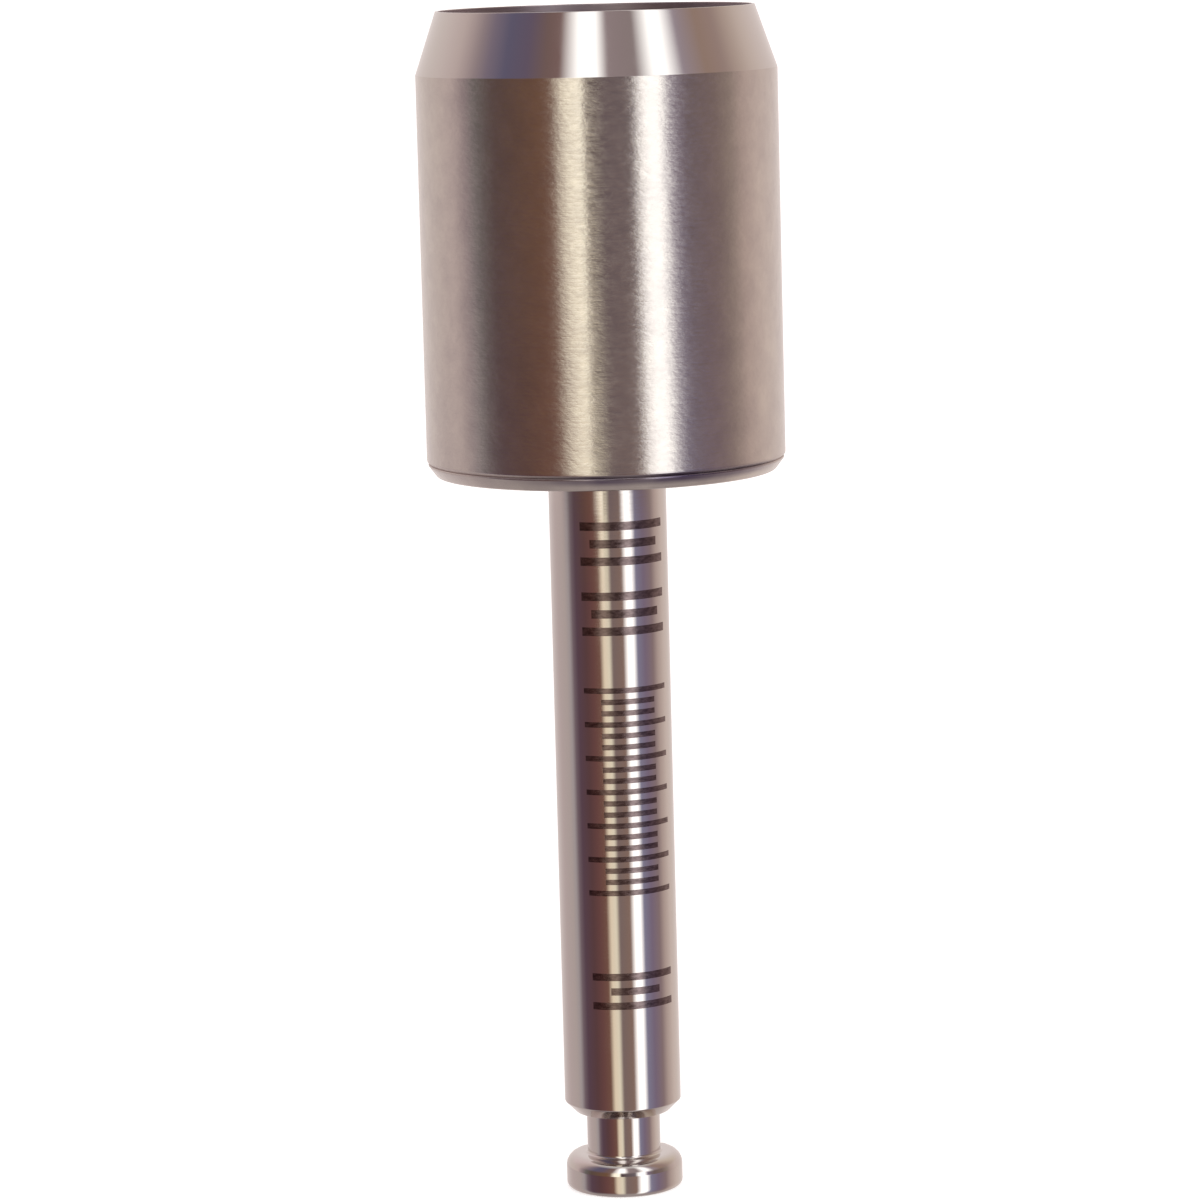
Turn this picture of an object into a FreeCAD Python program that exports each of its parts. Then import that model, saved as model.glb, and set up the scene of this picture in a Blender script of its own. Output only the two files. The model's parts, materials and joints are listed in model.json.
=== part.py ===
"""Latch-shank ring punch: a small rotary hand-piece tool.

A polished latch-type shank carries a cup-shaped head. The head is a straight tube with a bevelled
mouth, closed at the bottom by a flanged end cap, and the shank is brazed through the cap. The tool
turns as one piece, so nothing in it moves. Millimetres, +Z up, origin at the centre of the shank's
end face, mouth of the cup at the top. The driving flat of the shank faces +Y.
"""
import FreeCAD, Part
import os
import Sketcher

# Driving dimensions, in millimetres: name, value, meaning.
SIZES = [
    ("shank_dia", 2.35, "plain shank, the 2.35 mm latch-type size"),
    ("button_height", 0.70, "end button below the latch groove"),
    ("button_top_round", 0.25, "rounding of the button's upper edge"),
    ("button_end_round", 0.12, "rounding of the button's end edge"),
    ("neck_dia", 1.48, "bottom of the latch groove"),
    ("groove_top", 1.58, "upper face of the latch groove"),
    ("shoulder_chamfer", 0.22, "chamfer between that face and the plain shank"),
    ("flat_offset", 0.575, "distance of the driving flat from the axis"),
    ("flat_length", 4.50, "length of the driving flat from the end face"),
    ("spigot_dia", 1.60, "reduced end of the shank that passes through the cap"),
    ("spigot_proud", 0.14, "height of the spigot above the floor of the cup"),
    ("head_bottom", 14.60, "underside of the head above the end face"),
    ("head_dia", 7.15, "outside of the cup"),
    ("bore_dia", 6.20, "inside of the cup"),
    ("total_length", 23.80, "end face to mouth"),
    ("bevel_height", 1.24, "height of the outer bevel at the mouth"),
    ("mouth_dia", 6.30, "outside of the mouth, at the top of the bevel"),
    ("flange_height", 0.27, "flange of the end cap"),
    ("flange_taper", 0.20, "how far the flange's rim draws in towards the underside"),
    ("register_dia", 6.60, "part of the cap that fits inside the tube, and the tube's counterbore for it"),
    ("register_height", 1.45, "height of that part, up to the counterbore's step"),
    ("register_lead", 0.15, "lead-in chamfer on the register"),
    ("seam_break", 0.05, "broken outer edge of the tube at the seam"),
    ("braze_pocket", 0.10, "chamfer inside the tube's lower end, filled with braze"),
    ("shank_braze_leg", 0.18, "leg of the braze fillet round the shank"),
    ("spigot_braze_leg", 0.12, "leg of the braze fillet round the spigot"),
    ("braze_edge", 0.03, "thickness left at the thin edges of a braze fillet"),
]

# Expressions that several sub-parts share.
SHANK_RADIUS = "sizes.shank_dia / 2"
SPIGOT_RADIUS = "sizes.spigot_dia / 2"
BORE_RADIUS = "sizes.bore_dia / 2"
REGISTER_RADIUS = "sizes.register_dia / 2"
HEAD_RADIUS = "sizes.head_dia / 2"
UNDERSIDE = "sizes.head_bottom"
SEAM = "sizes.head_bottom + sizes.flange_height"
CUP_FLOOR = f"{SEAM} + sizes.register_height"
MOUTH = "sizes.total_length"

# Sketch geometry indices that stand for the origin's point and its two axes.
ORIGIN = -1
HORIZONTAL_AXIS = -1
VERTICAL_AXIS = -2

SAME = 1e-6             # lengths in mm, or volumes in mm3, that differ by less are equal
PLACEHOLDER = 1.0       # value of a length constraint until its expression sets it

doc = FreeCAD.newDocument("latch_shank_ring_punch")


def make_sheet():
    """Fill the spreadsheet that every sketch and feature is bound to."""
    sheet = doc.addObject("Spreadsheet::Sheet", "sizes")
    for row, (alias, value, meaning) in enumerate(SIZES, start=1):
        sheet.set(f"A{row}", alias)
        sheet.set(f"B{row}", str(value))
        sheet.set(f"C{row}", meaning)
        sheet.setAlias(f"B{row}", alias)
    doc.recompute()
    return sheet


def new_body(label):
    body = doc.addObject("PartDesign::Body", label)
    body.Label = label
    return body


def new_sketch(body, name, role):
    """Sketch on one of the body's own origin planes."""
    sketch = body.newObject("Sketcher::SketchObject", name)
    plane = next(item for item in body.Origin.OriginFeatures if item.Role == role)
    sketch.AttachmentSupport = [(plane, "")]
    sketch.MapMode = "FlatFace"
    return sketch


def place_point(sketch, geometry, end, across, up):
    """Hold a sketch point at signed distances from the origin, or on an axis where one is "0"."""
    for kind, axis, expression in (("DistanceX", VERTICAL_AXIS, across), ("DistanceY", HORIZONTAL_AXIS, up)):
        if expression == "0":
            sketch.addConstraint(Sketcher.Constraint("PointOnObject", geometry, end, axis))
        else:
            held = sketch.addConstraint(Sketcher.Constraint(kind, ORIGIN, 1, geometry, end, PLACEHOLDER))
            sketch.setExpression(f"Constraints[{held}]", expression)


def outline_sketch(body, name, corners, role="XZ_Plane"):
    """Closed outline of straight sides. Each corner is a pair of expressions, across and up."""
    sketch = new_sketch(body, name, role)
    count = len(corners)
    # The sides start anywhere on a curve, because the constraints set both coordinates of each corner.
    start = [FreeCAD.Vector(1.0 + corner, corner * corner, 0.0) for corner in range(count)]
    for corner in range(count):
        sketch.addGeometry(Part.LineSegment(start[corner], start[(corner + 1) % count]), False)
    for corner, (across, up) in enumerate(corners):
        sketch.addConstraint(Sketcher.Constraint("Coincident", corner, 2, (corner + 1) % count, 1))
        place_point(sketch, corner, 1, across, up)
    return sketch


def circle_sketch(body, name, across, up, radius):
    """Circle whose centre and radius are expressions."""
    sketch = new_sketch(body, name, "XZ_Plane")
    circle = Part.Circle(FreeCAD.Vector(1.0, 1.0, 0.0), FreeCAD.Vector(0.0, 0.0, 1.0), PLACEHOLDER)
    sketch.addGeometry(circle, False)
    place_point(sketch, 0, 3, across, up)
    held = sketch.addConstraint(Sketcher.Constraint("Radius", 0, PLACEHOLDER))
    sketch.setExpression(f"Constraints[{held}]", radius)
    return sketch


def turn(body, kind, name, sketch):
    """Revolution or Groove of a sketch, across = radius and up = height, about the Z axis."""
    turned = body.newObject(kind, name)
    turned.Profile = sketch
    turned.ReferenceAxis = (sketch, ["V_Axis"])
    turned.Angle = 360.0
    doc.recompute()
    return turned


def require_cut(body, volume_before, name):
    """A cut that removes nothing shows no error, so its volume is compared."""
    doc.recompute()
    if not body.Shape.Volume < volume_before - SAME:
        raise RuntimeError(f"{name} cut nothing from {body.Label}")


def round_edge(body, base, name, radius, edge_radius, edge_height):
    """Round the one circular edge of the base feature that has this radius and lies at this height."""
    picked = []
    for index, edge in enumerate(base.Shape.Edges, start=1):
        if not isinstance(edge.Curve, Part.Circle):
            continue
        same_radius = abs(edge.Curve.Radius - edge_radius) < SAME
        same_height = abs(edge.Curve.Center.z - edge_height) < SAME
        if same_radius and same_height:
            picked.append(f"Edge{index}")
    if len(picked) != 1:
        raise RuntimeError(f"{name} found {len(picked)} edges on {body.Label}")
    rounded = body.newObject("PartDesign::Fillet", name)
    rounded.Base = (base, picked)
    rounded.setExpression("Radius", radius)
    doc.recompute()
    return rounded


def make_latch_shank(sheet):
    """Turned pin: end button, latch groove, chamfered shoulder, plain shank and spigot, with one flat."""
    body = new_body("latch_shank")
    spigot_top = f"{CUP_FLOOR} + sizes.spigot_proud"
    outline = outline_sketch(body, "shank_outline", [
        ("0", "0"),
        (SHANK_RADIUS, "0"),
        (SHANK_RADIUS, "sizes.button_height"),
        ("sizes.neck_dia / 2", "sizes.button_height"),
        ("sizes.neck_dia / 2", "sizes.groove_top"),
        (f"{SHANK_RADIUS} - sizes.shoulder_chamfer", "sizes.groove_top"),
        (SHANK_RADIUS, "sizes.groove_top + sizes.shoulder_chamfer"),
        (SHANK_RADIUS, UNDERSIDE),
        (SPIGOT_RADIUS, UNDERSIDE),
        (SPIGOT_RADIUS, spigot_top),
        ("0", spigot_top),
    ])
    turned = turn(body, "PartDesign::Revolution", "shank_turning", outline)
    shank_radius = sheet.shank_dia / 2
    rounded = round_edge(body, turned, "button_top_rounding", "sizes.button_top_round",
                         shank_radius, sheet.button_height)
    round_edge(body, rounded, "button_end_rounding", "sizes.button_end_round", shank_radius, 0.0)

    # The flat is cut by a block wider than the shank, whose near side is the flat's plane.
    block = outline_sketch(body, "flat_outline", [
        ("-sizes.shank_dia", "sizes.flat_offset"),
        ("sizes.shank_dia", "sizes.flat_offset"),
        ("sizes.shank_dia", "sizes.shank_dia"),
        ("-sizes.shank_dia", "sizes.shank_dia"),
    ], role="XY_Plane")
    volume_before = body.Shape.Volume
    flat = body.newObject("PartDesign::Pocket", "driving_flat")
    flat.Profile = block
    flat.Reversed = True
    flat.setExpression("Length", "sizes.flat_length")
    require_cut(body, volume_before, "driving_flat")
    return body


def make_end_cap():
    """Flanged plug that closes the tube. The flange's rim draws in towards the underside."""
    body = new_body("end_cap")
    outline = outline_sketch(body, "cap_outline", [
        (SPIGOT_RADIUS, UNDERSIDE),
        (f"{HEAD_RADIUS} - sizes.flange_taper", UNDERSIDE),
        (HEAD_RADIUS, SEAM),
        (REGISTER_RADIUS, SEAM),
        (REGISTER_RADIUS, f"{CUP_FLOOR} - sizes.register_lead"),
        (f"{REGISTER_RADIUS} - sizes.register_lead", CUP_FLOOR),
        (SPIGOT_RADIUS, CUP_FLOOR),
    ])
    turn(body, "PartDesign::Revolution", "cap_turning", outline)
    return body


def make_cutting_sleeve():
    """Straight tube whose outer bevel leaves a thin land round the mouth. The cap sits in a counterbore."""
    body = new_body("cutting_sleeve")
    outline = outline_sketch(body, "sleeve_outline", [
        (f"{REGISTER_RADIUS} + sizes.braze_pocket", SEAM),
        (f"{HEAD_RADIUS} - sizes.seam_break", SEAM),
        (HEAD_RADIUS, f"{SEAM} + sizes.seam_break"),
        (HEAD_RADIUS, f"{MOUTH} - sizes.bevel_height"),
        ("sizes.mouth_dia / 2", MOUTH),
        (BORE_RADIUS, MOUTH),
        (BORE_RADIUS, CUP_FLOOR),
        (REGISTER_RADIUS, CUP_FLOOR),
        (REGISTER_RADIUS, f"{SEAM} + sizes.braze_pocket"),
    ])
    turn(body, "PartDesign::Revolution", "sleeve_turning", outline)
    return body


def make_seam_braze():
    """Ring of braze that fills the pocket between the tube, the register and the flange."""
    body = new_body("seam_braze")
    outline = outline_sketch(body, "pocket_outline", [
        (REGISTER_RADIUS, SEAM),
        (f"{REGISTER_RADIUS} + sizes.braze_pocket", SEAM),
        (REGISTER_RADIUS, f"{SEAM} + sizes.braze_pocket"),
    ])
    turn(body, "PartDesign::Revolution", "pocket_ring", outline)
    return body


def make_braze_fillet(label, pin_radius, face, away, leg):
    """Hollow fillet of braze between a pin and a flat face. away is "+" above the face, "-" below it."""
    body = new_body(label)
    foot = f"{pin_radius} + {leg}"
    tip = f"{face} {away} {leg}"
    square = outline_sketch(body, f"{label}_outline", [
        (pin_radius, face),
        (foot, face),
        (foot, tip),
        (pin_radius, tip),
    ])
    turn(body, "PartDesign::Revolution", f"{label}_ring", square)
    volume_before = body.Shape.Volume
    hollow = circle_sketch(body, f"{label}_hollow_outline", foot, tip, f"{leg} - sizes.braze_edge")
    turn(body, "PartDesign::Groove", f"{label}_hollow", hollow)
    require_cut(body, volume_before, f"{label}_hollow")
    return body


def check_and_write(bodies):
    """Stop on a failed object or a bad solid, else write one STEP file for each sub-part."""
    doc.recompute()
    for item in doc.Objects:
        if "Invalid" in item.State or "Error" in item.State:
            raise RuntimeError(f"{item.Name} failed: {item.State}")
    for body in bodies:
        shape = body.Shape
        if shape.isNull() or not shape.isValid() or len(shape.Solids) != 1:
            raise RuntimeError(f"{body.Label} is not one valid solid")
    os.makedirs("parts", exist_ok=True)
    for body in bodies:
        body.Shape.exportStep(f"parts/{body.Label}.step")
        print(f"{body.Label}: {body.Shape.Volume:.3f} mm3")


sizes_sheet = make_sheet()
check_and_write([
    make_latch_shank(sizes_sheet),
    make_end_cap(),
    make_cutting_sleeve(),
    make_seam_braze(),
    make_braze_fillet("shank_braze", SHANK_RADIUS, UNDERSIDE, "-", "sizes.shank_braze_leg"),
    make_braze_fillet("spigot_braze", SPIGOT_RADIUS, CUP_FLOOR, "+", "sizes.spigot_braze_leg"),
])
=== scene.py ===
"""Looks for the latch-shank ring punch: turned and ground steel pieces, laser bars, studio and camera.

Every piece is a body of revolution about the Z axis, so each one is an outline of (radius, height)
corners, in millimetres, whose edges are broken by small arcs and which is then turned about the axis.
The shank alone has a flat, which is cut away from one side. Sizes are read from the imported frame.
"""
import json
import math

import bpy
from mathutils import Matrix, Vector


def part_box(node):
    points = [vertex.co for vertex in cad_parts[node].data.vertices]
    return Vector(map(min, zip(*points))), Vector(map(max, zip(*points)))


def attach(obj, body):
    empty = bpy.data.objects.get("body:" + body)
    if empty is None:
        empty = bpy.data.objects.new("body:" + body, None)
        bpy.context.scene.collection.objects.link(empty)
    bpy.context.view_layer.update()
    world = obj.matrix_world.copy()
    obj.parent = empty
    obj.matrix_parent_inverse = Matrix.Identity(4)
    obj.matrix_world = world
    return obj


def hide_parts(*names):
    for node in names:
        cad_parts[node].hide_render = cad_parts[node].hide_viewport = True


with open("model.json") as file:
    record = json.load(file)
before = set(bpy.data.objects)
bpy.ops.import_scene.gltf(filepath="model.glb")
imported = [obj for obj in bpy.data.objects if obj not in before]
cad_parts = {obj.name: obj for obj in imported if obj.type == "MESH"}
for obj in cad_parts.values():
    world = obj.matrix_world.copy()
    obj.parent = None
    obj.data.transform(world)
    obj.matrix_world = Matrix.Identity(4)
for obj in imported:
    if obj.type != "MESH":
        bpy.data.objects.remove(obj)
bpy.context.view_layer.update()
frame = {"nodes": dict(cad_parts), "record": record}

MM = 0.001
SEGMENTS = 288          # sides of a full turn, so that silhouettes stay smooth
ARC_STEPS = 5           # sides of a rounded edge
ARC_SHARE = 0.6         # most of an outline's side that the arc at one end may take
SUPPORT = 0.02          # mm, a ring beside each rounded edge keeps the long walls' shading straight
SHARP_ANGLE = math.radians(35)  # faces that meet at more than this are shaded apart


# ---------------------------------------------------------------- sizes from the frame, in mm

def cad_rings(node):
    """Every (radius, height) of the node's CAD vertices, on the side without the driving flat."""
    found = set()
    for vertex in frame["nodes"][node].data.vertices:
        if vertex.co.y <= 0:
            radius = math.hypot(vertex.co.x, vertex.co.y) / MM
            found.add((round(radius, 3), round(vertex.co.z / MM, 3)))
    return found


def widest(rings, low=-math.inf, high=math.inf):
    return max(radius for radius, height in rings if low <= height <= high)


def narrowest(rings, low=-math.inf, high=math.inf):
    return min(radius for radius, height in rings if low <= height <= high)


def height_range(node):
    low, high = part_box(node)
    return low.z / MM, high.z / MM


NEAR = 0.001            # heights and radii closer than this are the same ring
mounts = {mount["name"]: mount for mount in frame["record"]["mounts"]}
SHANK_R = mounts["shank"]["dims"]["r_mm"]
BORE_R = mounts["cup_bore"]["dims"]["r_mm"]
FLAT_Y = mounts["driving_flat"]["pos_m"][1] / MM
GROOVE_Z = mounts["latch_groove"]["pos_m"][2] / MM

sleeve_rings = cad_rings("cutting_sleeve")
cap_rings = cad_rings("end_cap")
shank_rings = cad_rings("latch_shank")
SEAM_Z, MOUTH_Z = height_range("cutting_sleeve")
UNDERSIDE_Z, FLOOR_Z = height_range("end_cap")
HEAD_R = widest(sleeve_rings)
MOUTH_R = widest(sleeve_rings, low=MOUTH_Z - NEAR)
BEVEL_Z = max(height for radius, height in sleeve_rings if radius > HEAD_R - NEAR)
SEAM_BREAK = min(height for radius, height in sleeve_rings if radius > HEAD_R - NEAR) - SEAM_Z
REGISTER_R = narrowest(sleeve_rings, high=FLOOR_Z - NEAR)
POCKET = height_range("seam_braze")[1] - SEAM_Z
FLANGE_FOOT_R = widest(cap_rings, high=UNDERSIDE_Z + NEAR)
CAP_TOP_R = widest(cap_rings, low=FLOOR_Z - NEAR)
SPIGOT_TOP_Z = height_range("latch_shank")[1]
SPIGOT_R = widest(shank_rings, low=SPIGOT_TOP_Z - NEAR)
wall_heights = sorted(height for radius, height in shank_rings if radius > SHANK_R - NEAR)
BUTTON_LOW_Z, BUTTON_HIGH_Z, SHOULDER_Z = wall_heights[:3]
NECK_R = narrowest(shank_rings, low=BUTTON_HIGH_Z, high=SHOULDER_Z)
neck_heights = sorted(height for radius, height in shank_rings if abs(radius - NECK_R) < NEAR)
NECK_LOW_Z, NECK_HIGH_Z = neck_heights[0], neck_heights[-1]
SHOULDER_FACE_R = widest(shank_rings, low=NECK_HIGH_Z - NEAR, high=NECK_HIGH_Z + NEAR)
FLAT_TOP_Z = max(vertex.co.z / MM for vertex in frame["nodes"]["latch_shank"].data.vertices
                 if abs(vertex.co.y / MM - FLAT_Y) < NEAR and vertex.co.z / MM < GROOVE_Z + SHANK_R * 4)
SHANK_BRAZE_LEG = UNDERSIDE_Z - height_range("shank_braze")[0]
SPIGOT_BRAZE_LEG = height_range("spigot_braze")[1] - FLOOR_Z


# ---------------------------------------------------------------- outlines and meshes

def rounded_corner(before, corner, after, radius):
    """Arc of (radius, height) points that breaks one corner, with a support point at each end."""
    here = Vector(corner)
    towards = [(Vector(point) - here).normalized() for point in (before, after)]
    reach = [(Vector(point) - here).length for point in (before, after)]
    turn = towards[0].angle(towards[1])
    start = min(radius / math.tan(turn / 2), ARC_SHARE * min(reach))
    size = start * math.tan(turn / 2)
    middle = here + (towards[0] + towards[1]).normalized() * size / math.sin(turn / 2)
    ends = [here + way * start for way in towards]
    first = (ends[0] - middle).normalized()
    last = (ends[1] - middle).normalized()
    sweep = first.angle_signed(last)
    points = []
    if reach[0] > start * 2 + SUPPORT * 2:
        points.append(here + towards[0] * (start + SUPPORT))
    for step in range(ARC_STEPS + 1):
        spoke = first.copy()
        spoke.rotate(Matrix.Rotation(-sweep * step / ARC_STEPS, 2))
        points.append(middle + spoke * size)
    if reach[1] > start * 2 + SUPPORT * 2:
        points.append(here + towards[1] * (start + SUPPORT))
    return points


def broken_edges(corners, closed=True):
    """Outline whose corners, each (radius, height, edge radius), are broken by arcs."""
    outline = []
    count = len(corners)
    for index, (across, up, edge) in enumerate(corners):
        inner = closed or 0 < index < count - 1
        if inner and edge > 0:
            before = corners[index - 1][:2]
            after = corners[(index + 1) % count][:2]
            outline += rounded_corner(before, (across, up), after, edge)
        else:
            outline.append(Vector((across, up)))
    return outline


def make_object(name, points, faces, slots):
    """Mesh object in metres from points in mm. slots gives each face's material index."""
    mesh = bpy.data.meshes.new(name)
    mesh.from_pydata([Vector(point) * MM for point in points], [], faces)
    mesh.polygons.foreach_set("material_index", slots)
    mesh.polygons.foreach_set("use_smooth", [True] * len(faces))
    mesh.validate()
    mesh.update()
    mesh.set_sharp_from_angle(angle=SHARP_ANGLE)
    piece = bpy.data.objects.new(name, mesh)
    bpy.context.scene.collection.objects.link(piece)
    return piece


def turned(name, outline, slot_at=lambda across, up: 0, closed=True, capped=False):
    """Outline turned about the axis. slot_at gives the material index at a face's middle.

    An open outline that goes up the outside of a pin is capped with a flat face at each end.
    """
    points = []
    for across, up in outline:
        for side in range(SEGMENTS):
            angle = 2 * math.pi * side / SEGMENTS
            points.append((across * math.cos(angle), across * math.sin(angle), up))
    faces = []
    slots = []
    count = len(outline)
    for ring in range(count if closed else count - 1):
        following = (ring + 1) % count
        middle = (outline[ring] + outline[following]) / 2
        slot = slot_at(middle.x, middle.y)
        for side in range(SEGMENTS):
            beside = (side + 1) % SEGMENTS
            faces.append((ring * SEGMENTS + side, ring * SEGMENTS + beside,
                          following * SEGMENTS + beside, following * SEGMENTS + side))
            slots.append(slot)
    if capped:
        faces.append(tuple(reversed(range(SEGMENTS))))
        faces.append(tuple(range((count - 1) * SEGMENTS, count * SEGMENTS)))
        slots += [0, 0]
    return make_object(name, points, faces, slots)


# ---------------------------------------------------------------- the pieces

SATIN, BEVEL, BORE, SEAM = 0, 1, 2, 3     # material slots of the head's two pieces


def make_cutting_sleeve():
    corners = [
        (REGISTER_R + POCKET, SEAM_Z, 0.0),
        (HEAD_R - SEAM_BREAK, SEAM_Z, 0.01),
        (HEAD_R, SEAM_Z + SEAM_BREAK, 0.03),
        (HEAD_R, BEVEL_Z, 0.05),
        (MOUTH_R, MOUTH_Z, 0.012),
        (BORE_R, MOUTH_Z, 0.012),
        (BORE_R, FLOOR_Z, 0.0),
        (REGISTER_R, FLOOR_Z, 0.0),
        (REGISTER_R, SEAM_Z + POCKET, 0.0),
    ]

    def slot_at(across, up):
        # the bore takes its coarse finish with painted shade
        if across < BORE_R + NEAR:
            return BORE
        # the seam's broken edges take the painted shade
        if up < SEAM_Z + SEAM_BREAK:
            return SEAM
        return BEVEL if up > BEVEL_Z else SATIN

    return turned("cutting_sleeve_turned", broken_edges(corners), slot_at)


def make_end_cap():
    lead = REGISTER_R - CAP_TOP_R
    corners = [
        (SPIGOT_R, UNDERSIDE_Z, 0.0),
        (FLANGE_FOOT_R, UNDERSIDE_Z, 0.10),
        (HEAD_R, SEAM_Z, 0.03),
        (REGISTER_R, SEAM_Z, 0.0),
        (REGISTER_R, FLOOR_Z - lead, 0.0),
        (CAP_TOP_R, FLOOR_Z, 0.0),
        (SPIGOT_R, FLOOR_Z, 0.0),
    ]

    def slot_at(across, up):
        # the cup's floor takes the bore's finish with its painted shade
        if up > FLOOR_Z - NEAR:
            return BORE
        # the flange's upper edge takes the painted shade of the seam
        return SEAM if up > SEAM_Z - SEAM_BREAK / 2 else SATIN

    return turned("end_cap_turned", broken_edges(corners), slot_at)


def make_seam_braze():
    corners = [
        (REGISTER_R, SEAM_Z, 0.0),
        (REGISTER_R + POCKET, SEAM_Z, 0.0),
        (REGISTER_R, SEAM_Z + POCKET, 0.0),
    ]
    return turned("seam_braze_ring", broken_edges(corners))


FILLET_STEPS = 12       # sides of a fillet's hollow
FILLET_EDGE = 0.03      # mm left at the thin edges of a fillet


def make_braze_fillet(name, pin_radius, face, leg, away):
    """Hollow fillet between a pin and a flat face; away is the direction from the face, +1 or -1."""
    hollow = leg - FILLET_EDGE
    outline = [Vector((pin_radius, face)), Vector((pin_radius + leg, face))]
    for step in range(FILLET_STEPS + 1):
        angle = math.pi / 2 * step / FILLET_STEPS
        across = pin_radius + leg - hollow * math.sin(angle)
        up = face + away * (leg - hollow * math.cos(angle))
        outline.append(Vector((across, up)))
    outline.append(Vector((pin_radius, face + away * leg)))
    if away < 0:
        outline.reverse()
    return turned(name, outline)


PLAIN, MARKED, MILLED = 0, 1, 2           # material slots of the shank
LEDGE_ROUND = 0.15      # the cutter's radius where the flat runs out
WALL_DEPTH = 0.02       # mm, faces closer to the shank's wall than this belong to it
BARS_MIDDLE = 17.0      # degrees from the front of the shank towards +X

# Groups of bars up the shank: low end, high end, number of bars and bar thickness, in mm, then the
# half widths that the bars take in turn, in degrees round the shank.
BAR_GROUPS = [
    (3.88, 4.62, 3, 0.15, (44.0, 26.0)),
    (6.20, 10.40, 19, 0.11, (46.0, 28.0, 28.0)),
    (11.45, 12.32, 3, 0.17, (46.0, 36.0)),
    (12.85, 13.72, 3, 0.17, (46.0, 36.0)),
]


def laser_bars():
    """Generic graduation bars: (low height, high height, half width in degrees round the shank)."""
    bars = []
    for low, high, count, thick, half_widths in BAR_GROUPS:
        pitch = (high - low - thick) / (count - 1)
        for number in range(count):
            start = low + number * pitch
            bars.append((start, start + thick, half_widths[number % len(half_widths)]))
    return bars


def shank_outline():
    """(radius, height) points from the end face to the top of the spigot, with the bars' edges."""
    bar_edges = [height for low, high, half in laser_bars() for height in (low, high)]
    corners = [
        (0.0, 0.0, 0.0),
        (SHANK_R, 0.0, BUTTON_LOW_Z),
        (SHANK_R, NECK_LOW_Z, NECK_LOW_Z - BUTTON_HIGH_Z),
        (NECK_R, NECK_LOW_Z, 0.05),
        (NECK_R, NECK_HIGH_Z, 0.05),
        (SHOULDER_FACE_R, NECK_HIGH_Z, 0.03),
        (SHANK_R, SHOULDER_Z, 0.03),
        *((SHANK_R, height, 0.0) for height in sorted(bar_edges)),
        (SHANK_R, UNDERSIDE_Z, 0.0),
        (SPIGOT_R, UNDERSIDE_Z, 0.0),
        (SPIGOT_R, SPIGOT_TOP_Z, 0.03),
        (0.0, SPIGOT_TOP_Z, 0.0),
    ]
    return broken_edges(corners, closed=False)[1:-1]


def flat_cutter():
    """Block whose near side is the flat's plane, rounded at its upper edge as a milling cutter is."""
    outside = SHANK_R * 2
    side = broken_edges([
        (FLAT_Y, -outside, 0.0),
        (FLAT_Y, FLAT_TOP_Z, LEDGE_ROUND),
        (outside, FLAT_TOP_Z, 0.0),
        (outside, -outside, 0.0),
    ])
    count = len(side)
    points = [(x, y, z) for x in (-outside, outside) for y, z in side]
    faces = [tuple(range(count)), tuple(reversed(range(count, count * 2)))]
    for corner in range(count):
        beside = (corner + 1) % count
        faces.append((corner, count + corner, count + beside, beside))
    return make_object("flat_cutter", points, faces, [0] * len(faces))


def cut_away(piece, cutter):
    """Take the cutter's volume out of the piece, and delete the cutter."""
    cut = piece.modifiers.new("cut", "BOOLEAN")
    cut.operation = "DIFFERENCE"
    cut.solver = "EXACT"
    cut.object = cutter
    evaluated = piece.evaluated_get(bpy.context.evaluated_depsgraph_get())
    whole = piece.data
    piece.data = bpy.data.meshes.new_from_object(evaluated)
    piece.modifiers.clear()
    piece.data.shade_smooth()
    piece.data.set_sharp_from_angle(angle=SHARP_ANGLE)
    bpy.data.objects.remove(cutter)
    bpy.data.meshes.remove(whole)


def shank_slot(middle):
    """Material index of the shank's face that has this middle, in mm."""
    if abs(middle.y - FLAT_Y) < NEAR and middle.z < FLAT_TOP_Z - LEDGE_ROUND:
        return MILLED
    if math.hypot(middle.x, middle.y) < SHANK_R - WALL_DEPTH:
        return PLAIN
    angle = math.degrees(math.atan2(middle.x, -middle.y)) - BARS_MIDDLE
    for low, high, half in laser_bars():
        if low < middle.z < high and abs(angle) < half:
            return MARKED
    return PLAIN


def make_latch_shank():
    shank = turned("latch_shank_turned", shank_outline(), closed=False, capped=True)
    cut_away(shank, flat_cutter())
    for face in shank.data.polygons:
        face.material_index = shank_slot(face.center / MM)
    return shank


# ---------------------------------------------------------------- materials

def node(tree, kind, **properties):
    """New node of a material or world tree, with its properties set by name."""
    made = tree.nodes.new(kind)
    for name, value in properties.items():
        setattr(made, name, value)
    return made


def new_metal(name, color, roughness, anisotropy=0.0):
    """Metal with its constant settings on the shader's own sockets. Its lay runs round the axis."""
    material = bpy.data.materials.new(name)
    material.use_nodes = True
    tree = material.node_tree
    shader = tree.nodes["Principled BSDF"]
    shader.inputs["Base Color"].default_value = (*color, 1.0)
    shader.inputs["Metallic"].default_value = 1.0
    shader.inputs["Roughness"].default_value = roughness
    shader.inputs["Anisotropic"].default_value = anisotropy
    shader.inputs["Anisotropic Rotation"].default_value = 0.25
    material.diffuse_color = (*color, 1.0)
    return material, tree, shader


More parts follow.
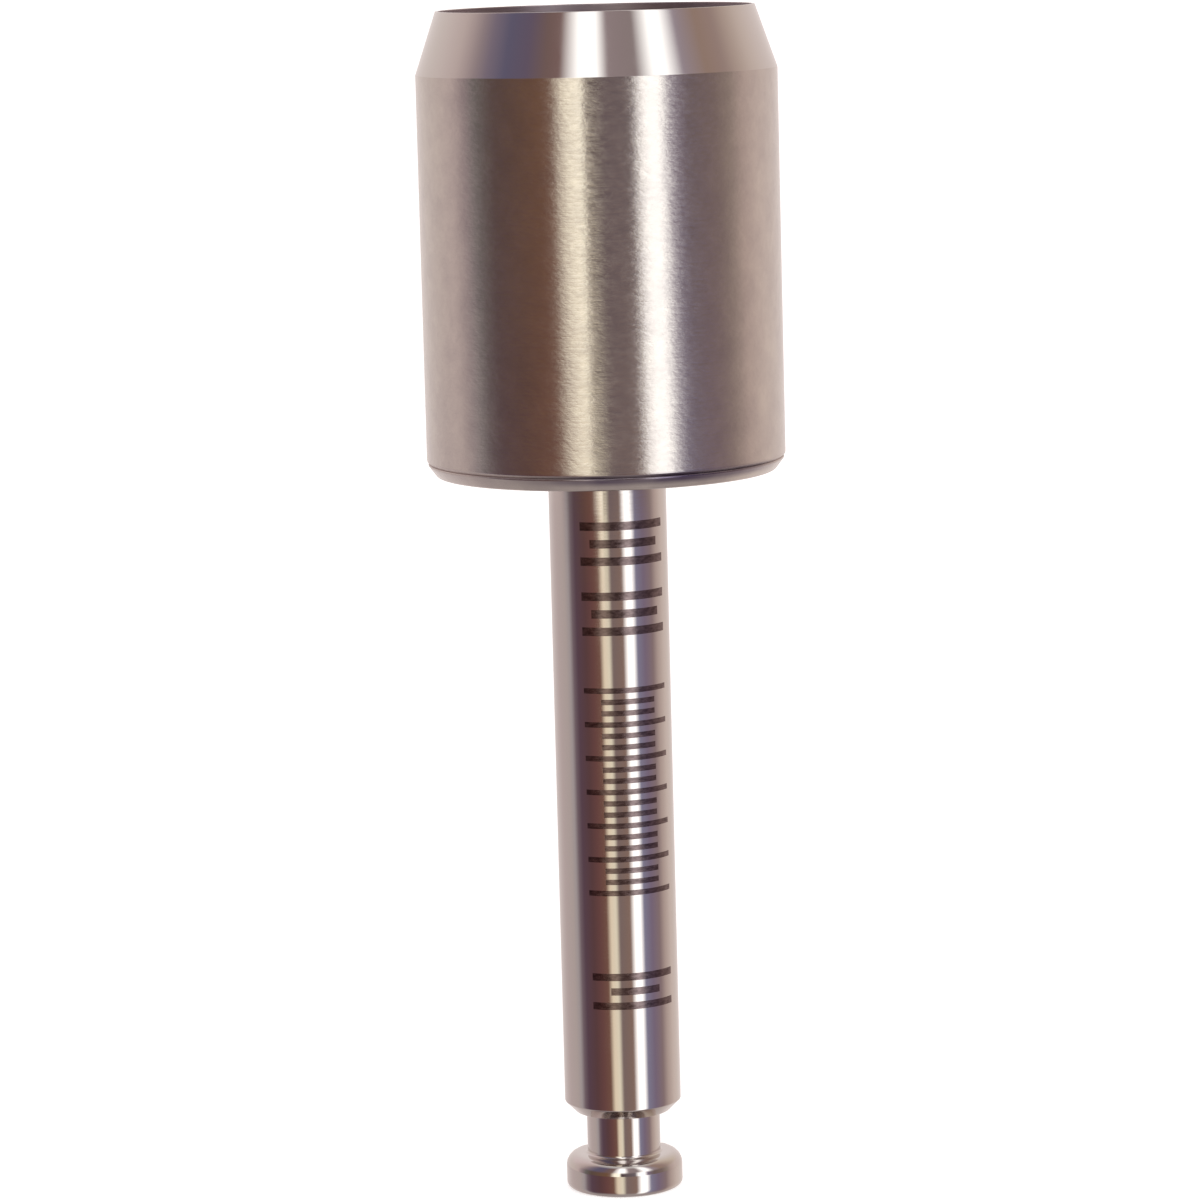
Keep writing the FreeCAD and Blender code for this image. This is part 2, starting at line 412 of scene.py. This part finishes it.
def stretched_noise(tree, around, along, detail=3.0, roughness=0.6):
    """Noise in object space whose features are around mm wide across the axis and along mm up it."""
    coordinates = node(tree, "ShaderNodeTexCoord")
    mapping = node(tree, "ShaderNodeMapping")
    mapping.inputs["Scale"].default_value = (1 / (around * MM), 1 / (around * MM), 1 / (along * MM))
    noise = node(tree, "ShaderNodeTexNoise")
    noise.inputs["Scale"].default_value = 1.0
    noise.inputs["Detail"].default_value = detail
    noise.inputs["Roughness"].default_value = roughness
    tree.links.new(coordinates.outputs["Object"], mapping.inputs["Vector"])
    tree.links.new(mapping.outputs["Vector"], noise.inputs["Vector"])
    return noise.outputs["Fac"]


def remap(tree, value, low, high, start=0.3, end=0.7):
    """Value spread from low to high as the input goes from start to end, by default a noise's range."""
    spread = node(tree, "ShaderNodeMapRange")
    spread.inputs["From Min"].default_value = start
    spread.inputs["From Max"].default_value = end
    spread.inputs["To Min"].default_value = low
    spread.inputs["To Max"].default_value = high
    tree.links.new(value, spread.inputs["Value"])
    return spread.outputs["Result"]


def mixed(tree, share, first, second):
    """Colour that goes from first to second. Each is a colour or another node's output."""
    blend = node(tree, "ShaderNodeMix", data_type="RGBA")
    factor, one, other = (blend.inputs[index] for index in (0, 6, 7))
    tree.links.new(share, factor)
    for socket, color in ((one, first), (other, second)):
        if isinstance(color, tuple):
            socket.default_value = (*color, 1.0)
        else:
            tree.links.new(color, socket)
    return blend.outputs[2]


def add_bump(tree, shader, height, depth_mm):
    bump = node(tree, "ShaderNodeBump")
    bump.inputs["Strength"].default_value = 1.0
    bump.inputs["Distance"].default_value = depth_mm * MM
    tree.links.new(height, bump.inputs["Height"])
    tree.links.new(bump.outputs["Normal"], shader.inputs["Normal"])


def sum_of(tree, first, second, weight):
    """first + weight * second."""
    added = node(tree, "ShaderNodeMath", operation="MULTIPLY_ADD")
    tree.links.new(second, added.inputs[0])
    added.inputs[1].default_value = weight
    tree.links.new(first, added.inputs[2])
    return added.outputs["Value"]


def axes_of(tree):
    """The three coordinates of a point, in object space and metres."""
    coordinates = node(tree, "ShaderNodeTexCoord")
    axes = node(tree, "ShaderNodeSeparateXYZ")
    tree.links.new(coordinates.outputs["Object"], axes.inputs["Vector"])
    return axes.outputs


# Painted shade: a dark violet band along the brazed seam, darkest towards one side, in place of the shade
# at the head's lower edge.
SEAM_SHADE_SIDE = math.radians(20)   # side where the painted shade along the seam is strongest, from the front towards +X
SEAM_SHADE_START = 0.6        # share of the head's radius, towards that side, beyond which the painted shade grows
SEAM_SHADE_FULL = 0.95        # and from which it is strongest
LEAST_SEAM_SHADE = 0.12       # strength of the painted shade away from that side
SEAM_SHADE_REACH = 0.14       # mm that the painted shade spreads along the seam
SEAM_SHADE_CORE = SEAM_SHADE_REACH * 0.3    # mm within which it is even
SEAM_SHADE_Z = SEAM_Z - SEAM_SHADE_REACH / 3


def seam_shade_strength(tree):
    """How strongly the painted shade along the seam shows: most towards one side, patchy all round."""
    axes = axes_of(tree)
    across = node(tree, "ShaderNodeMath", operation="MULTIPLY")
    across.inputs[1].default_value = math.sin(SEAM_SHADE_SIDE)
    tree.links.new(axes["X"], across.inputs[0])
    towards_shade_side = sum_of(tree, across.outputs["Value"], axes["Y"], -math.cos(SEAM_SHADE_SIDE))
    side = remap(tree, towards_shade_side, LEAST_SEAM_SHADE, 1.0, HEAD_R * MM * SEAM_SHADE_START, HEAD_R * MM * SEAM_SHADE_FULL)
    patchy = remap(tree, stretched_noise(tree, 1.2, 1.0, detail=2.0), 0.6, 1.0)
    strength = node(tree, "ShaderNodeMath", operation="MULTIPLY")
    tree.links.new(side, strength.inputs[0])
    tree.links.new(patchy, strength.inputs[1])
    return strength.outputs["Value"]


def seam_painted_shade(tree, steel):
    """Steel with painted shade, a dark violet band along the brazed seam, mostly on the flange below it.
    """
    above = node(tree, "ShaderNodeMath", operation="SUBTRACT")
    above.inputs[1].default_value = SEAM_SHADE_Z * MM
    tree.links.new(axes_of(tree)["Z"], above.inputs[0])
    away = node(tree, "ShaderNodeMath", operation="ABSOLUTE")
    tree.links.new(above.outputs["Value"], away.inputs[0])
    near = remap(tree, away.outputs["Value"], 1.0, 0.0, SEAM_SHADE_CORE * MM, SEAM_SHADE_REACH * MM)
    strength = node(tree, "ShaderNodeMath", operation="MULTIPLY")
    tree.links.new(near, strength.inputs[0])
    tree.links.new(seam_shade_strength(tree), strength.inputs[1])
    return mixed(tree, strength.outputs["Value"], steel, (0.13, 0.10, 0.17))


def satin_steel():
    """Turned stainless: fine marks round the axis, small scuffs, faint clouding and painted shade along
    the seam.
    """
    material, tree, shader = new_metal("satin_turned_steel", (0.62, 0.575, 0.545), 0.2, 0.7)
    lay = stretched_noise(tree, 2.4, 0.03)
    scuffs = stretched_noise(tree, 0.14, 0.07, detail=2.0)
    clouding = stretched_noise(tree, 0.5, 0.5, detail=5.0)
    tone = mixed(tree, remap(tree, clouding, 0.0, 1.0), (0.57, 0.53, 0.51), (0.66, 0.62, 0.58))
    tree.links.new(seam_painted_shade(tree, tone), shader.inputs["Base Color"])
    tree.links.new(remap(tree, scuffs, 0.15, 0.24), shader.inputs["Roughness"])
    add_bump(tree, shader, sum_of(tree, lay, scuffs, 2.8), 0.0008)
    return material


def polished_steel(name, color, roughness, depth):
    """Ground and polished steel with faint hairlines round the axis."""
    material, tree, shader = new_metal(name, color, roughness)
    hairlines = stretched_noise(tree, 0.6, 0.04, detail=4.0)
    smudges = stretched_noise(tree, 0.4, 0.8, detail=3.0)
    tree.links.new(remap(tree, smudges, roughness * 0.8, roughness * 1.5), shader.inputs["Roughness"])
    add_bump(tree, shader, hairlines, depth)
    return material


def machined_bore_painted_shade():
    """Bored inside of the cup, coarser, left from the tool. Its darker violet-grey colour is painted shade
    for the deep cup.
    """
    material, tree, shader = new_metal("machined_bore_painted_shade", (0.46, 0.39, 0.42), 0.42)
    marks = stretched_noise(tree, 3.0, 0.06, detail=2.0)
    tree.links.new(remap(tree, marks, 0.34, 0.5), shader.inputs["Roughness"])
    add_bump(tree, shader, marks, 0.002)
    return material


def milled_flat():
    """Side-milled driving flat with fine cutter lines along the shank."""
    material, tree, shader = new_metal("milled_flat", (0.60, 0.57, 0.56), 0.24)
    lines = stretched_noise(tree, 0.05, 1.5, detail=3.0)
    smudges = stretched_noise(tree, 0.4, 0.4, detail=3.0)
    tone = mixed(tree, remap(tree, smudges, 0.0, 1.0), (0.53, 0.50, 0.50), (0.66, 0.62, 0.60))
    tree.links.new(tone, shader.inputs["Base Color"])
    tree.links.new(remap(tree, lines, 0.18, 0.34), shader.inputs["Roughness"])
    add_bump(tree, shader, lines, 0.002)
    return material


def seam_edge_painted_shade():
    """Broken edges at the brazed seam with painted shade: dark violet towards one side and bare steel
    elsewhere.
    """
    material, tree, shader = new_metal("seam_edge_painted_shade", (0.20, 0.17, 0.20), 0.45)
    tone = mixed(tree, seam_shade_strength(tree), (0.74, 0.68, 0.65), (0.12, 0.09, 0.14))
    tree.links.new(tone, shader.inputs["Base Color"])
    return material


def laser_mark():
    """Dark oxide film of the graduation bars, a little uneven, through which the polish still shines."""
    material, tree, shader = new_metal("laser_mark", (0.18, 0.14, 0.14), 0.18)
    uneven = stretched_noise(tree, 0.12, 0.05, detail=4.0)
    tone = mixed(tree, remap(tree, uneven, 0.0, 1.0), (0.11, 0.08, 0.08), (0.27, 0.21, 0.21))
    tree.links.new(tone, shader.inputs["Base Color"])
    tree.links.new(remap(tree, uneven, 0.14, 0.24), shader.inputs["Roughness"])
    return material


def braze_alloy():
    """Silver braze, pale yellow and slightly rippled."""
    material, tree, shader = new_metal("braze_alloy", (0.74, 0.66, 0.50), 0.3)
    ripples = stretched_noise(tree, 0.25, 0.25, detail=2.0)
    tone = mixed(tree, remap(tree, ripples, 0.0, 1.0), (0.62, 0.52, 0.38), (0.80, 0.74, 0.60))
    tree.links.new(tone, shader.inputs["Base Color"])
    tree.links.new(remap(tree, ripples, 0.22, 0.42), shader.inputs["Roughness"])
    add_bump(tree, shader, ripples, 0.004)
    return material


def dress(piece, node_name, slot, *materials):
    """Give a piece its materials and tie it to the frame."""
    for material in materials:
        piece.data.materials.append(material)
    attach(piece, "root")
    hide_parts(node_name)


satin = satin_steel()
ground = polished_steel("ground_bevel", (0.66, 0.63, 0.61), 0.07, 0.0002)
polished = polished_steel("polished_shank", (0.66, 0.62, 0.60), 0.07, 0.0002)
braze = braze_alloy()

# the bore and the seam's edges carry painted shade
head_finishes = (satin, ground, machined_bore_painted_shade(), seam_edge_painted_shade())
dress(make_cutting_sleeve(), "cutting_sleeve", "satin_steel", *head_finishes)
dress(make_end_cap(), "end_cap", "satin_steel", *head_finishes)
dress(make_latch_shank(), "latch_shank", "polished_steel", polished, laser_mark(), milled_flat())
dress(make_seam_braze(), "seam_braze", "braze", braze)
shank_fillet = make_braze_fillet("shank_braze_ring", SHANK_R, UNDERSIDE_Z, SHANK_BRAZE_LEG, -1)
dress(shank_fillet, "shank_braze", "braze", braze)
spigot_fillet = make_braze_fillet("spigot_braze_ring", SPIGOT_R, FLOOR_Z, SPIGOT_BRAZE_LEG, 1)
dress(spigot_fillet, "spigot_braze", "braze", braze)


# ---------------------------------------------------------------- studio and camera

FLOOR_START = 0.5       # mm, radius of the gap in the floor's middle, under the shank's end
FLOOR_R = 3000.0        # mm, where the floor begins to curve up
CURVE_R = 1000.0        # mm, radius of that curve
WALL_TOP = 5000.0       # mm
CURVE_STEPS = 12


def make_studio():
    """Pale floor that curves up into a far wall. The steel reflects the lights beyond, not the floor."""
    outline = [Vector((FLOOR_START, 0.0)), Vector((FLOOR_R, 0.0))]
    for step in range(1, CURVE_STEPS + 1):
        angle = math.pi / 2 * step / CURVE_STEPS
        out = FLOOR_R + CURVE_R * math.sin(angle)
        outline.append(Vector((out, CURVE_R * (1 - math.cos(angle)))))
    outline.append(Vector((FLOOR_R + CURVE_R, WALL_TOP)))
    studio = turned("studio", outline, closed=False)
    material = bpy.data.materials.new("pale_paint")
    material.use_nodes = True
    shader = material.node_tree.nodes["Principled BSDF"]
    shader.inputs["Base Color"].default_value = (0.85, 0.85, 0.85, 1.0)
    shader.inputs["Roughness"].default_value = 0.9
    shader.inputs["Specular IOR Level"].default_value = 0.0
    shader.inputs["Emission Color"].default_value = (1.0, 1.0, 1.0, 1.0)
    shader.inputs["Emission Strength"].default_value = 0.65
    studio.data.materials.append(material)
    studio.visible_glossy = False
    studio.visible_shadow = False
    studio.visible_diffuse = False


# Light round the object: (degrees from the front towards +X, light there), at three heights. Two strips
# stand in front. The left one is cream in the head's reflection, and the right one is white. These are not
# a plain studio's values. They were worked out from mean colours measured across the reflections in the
# reference photograph, divided by the steel's own colour, then rounded and adjusted against it.
BACK = (0.88, 0.80, 0.78)
CREAM = (1.50, 1.42, 1.18)
WHITE = (1.90, 1.90, 1.88)
LOW_LIGHT = [
    (-180, BACK), (-125, (0.64, 0.54, 0.53)), (-100, (0.59, 0.51, 0.49)), (-89, (0.50, 0.45, 0.46)),
    (-80, (0.23, 0.17, 0.20)), (-70, (0.135, 0.08, 0.11)), (-50, (0.14, 0.07, 0.075)),
    (-36, (0.19, 0.085, 0.08)), (-22, (0.24, 0.12, 0.09)), (-14, (1.05, 0.90, 0.68)),
    (-4, (1.05, 0.97, 0.76)), (3, (0.27, 0.20, 0.19)), (24, (0.32, 0.21, 0.17)), (34, WHITE),
    (44, WHITE), (53, (0.30, 0.29, 0.42)), (70, (0.26, 0.20, 0.29)), (90, (0.33, 0.24, 0.25)),
    (104, (0.58, 0.46, 0.42)), (125, (0.78, 0.66, 0.60)), (180, BACK),
]
LEVEL_LIGHT = [
    (-180, BACK), (-125, (0.76, 0.66, 0.62)), (-106, (0.69, 0.57, 0.55)), (-94, (0.40, 0.31, 0.33)),
    (-84, (0.20, 0.185, 0.175)), (-70, (0.145, 0.10, 0.085)), (-36, (0.22, 0.12, 0.07)),
    (-29, (0.28, 0.17, 0.13)), (-21, CREAM), (-10.2, (1.74, 1.68, 1.44)), (-7.4, (0.09, 0.05, 0.06)),
    (4, (0.17, 0.13, 0.145)), (21, (0.20, 0.165, 0.18)), (28, WHITE), (39, WHITE),
    (46, (0.29, 0.23, 0.32)), (60, (0.21, 0.155, 0.145)), (80, (0.27, 0.20, 0.18)),
    (93, (0.40, 0.32, 0.28)), (104, (0.61, 0.48, 0.44)), (120, (0.76, 0.63, 0.58)), (180, BACK),
]
HIGH_LIGHT = [
    (-180, BACK), (-136, (0.84, 0.70, 0.70)), (-109, (0.68, 0.56, 0.53)), (-99, (0.56, 0.45, 0.44)),
    (-89, (0.38, 0.30, 0.32)), (-80, (0.26, 0.21, 0.27)), (-66, (0.155, 0.14, 0.22)),
    (-50, (0.17, 0.13, 0.19)), (-36, (0.23, 0.15, 0.14)), (-26, (0.27, 0.17, 0.16)), (-11, WHITE),
    (-1, WHITE), (8, (0.38, 0.30, 0.31)), (28, (0.35, 0.28, 0.28)), (42, WHITE), (48, WHITE),
    (62, (0.42, 0.35, 0.40)), (80, (0.40, 0.28, 0.23)), (95, (0.43, 0.31, 0.28)),
    (109, (0.56, 0.44, 0.37)), (136, (0.77, 0.66, 0.56)), (180, BACK),
]
BELOW = (0.45, 0.39, 0.38)
ABOVE = (0.75, 0.72, 0.70)
BRIGHTEST = 2.0         # the world's strength, so that the rings' colours stay under 1


def light_ring(tree, share, stops):
    """Colour of one ring of light, by the share of a full turn from the back."""
    ramp = node(tree, "ShaderNodeValToRGB")
    elements = ramp.color_ramp.elements
    elements.remove(elements[1])
    for index, (degrees, light) in enumerate(stops):
        place = (degrees + 180) / 360
        element = elements[0] if index == 0 else elements.new(place)
        element.position = place
        element.color = (*(part / BRIGHTEST for part in light), 1.0)
    tree.links.new(share, ramp.inputs["Fac"])
    return ramp.outputs["Color"]


def make_surroundings():
    """Soft studio light by direction: two tall strips in front, dim beside them, pale behind and above."""
    world = bpy.data.worlds.new("studio_light")
    bpy.context.scene.world = world
    world.use_nodes = True
    tree = world.node_tree
    background = tree.nodes["Background"]
    coordinates = node(tree, "ShaderNodeTexCoord")
    axes = node(tree, "ShaderNodeSeparateXYZ")
    tree.links.new(coordinates.outputs["Generated"], axes.inputs["Vector"])
    forward = node(tree, "ShaderNodeMath", operation="MULTIPLY")
    forward.inputs[1].default_value = -1.0
    tree.links.new(axes.outputs["Y"], forward.inputs[0])
    azimuth = node(tree, "ShaderNodeMath", operation="ARCTAN2")
    tree.links.new(axes.outputs["X"], azimuth.inputs[0])
    tree.links.new(forward.outputs["Value"], azimuth.inputs[1])
    share = remap(tree, azimuth.outputs["Value"], 0.0, 1.0, -math.pi, math.pi)

    def reached(start, end):
        """0 to 1 as the direction's elevation goes from start to end, in degrees."""
        low, high = (math.sin(math.radians(degrees)) for degrees in (start, end))
        return remap(tree, axes.outputs["Z"], 0.0, 1.0, low, high)

    light = light_ring(tree, share, LOW_LIGHT)
    for ring, start, end in ((LEVEL_LIGHT, -6.9, -6.5), (HIGH_LIGHT, 12, 25)):
        light = mixed(tree, reached(start, end), light, light_ring(tree, share, ring))
    for tone, start, end in ((BELOW, -32, -60), (ABOVE, 55, 75)):
        even = tuple(part / BRIGHTEST for part in tone)
        light = mixed(tree, reached(start, end), light, even)
    tree.links.new(light, background.inputs["Color"])
    background.inputs["Strength"].default_value = BRIGHTEST


CAMERA_PLACE = (0.0, -100.0, 26.2)        # mm, in front of the tool and a little above its mouth
CAMERA_TARGET = (-0.2, 0.0, 12.01)        # mm
CAMERA_ROLL = math.radians(-1.5)
CAMERA_SENSOR = 36.0    # mm
CAMERA_LENS = 151.35    # mm


def make_camera():
    """Long lens close to the tool, which leans a little to one side in the frame."""
    camera = bpy.data.cameras.new("camera")
    camera.sensor_width = CAMERA_SENSOR
    camera.lens = CAMERA_LENS
    camera.clip_start = 0.005
    camera.clip_end = 20.0
    holder = bpy.data.objects.new("camera", camera)
    bpy.context.scene.collection.objects.link(holder)
    place = Vector(CAMERA_PLACE) * MM
    target = Vector(CAMERA_TARGET) * MM
    aim = (target - place).to_track_quat("-Z", "Y").to_matrix().to_4x4()
    roll = Matrix.Rotation(CAMERA_ROLL, 4, "Z")
    holder.matrix_world = Matrix.Translation(place) @ aim @ roll
    bpy.context.scene.camera = holder


make_studio()
make_surroundings()
make_camera()
bpy.context.scene.view_settings.view_transform = "Standard"
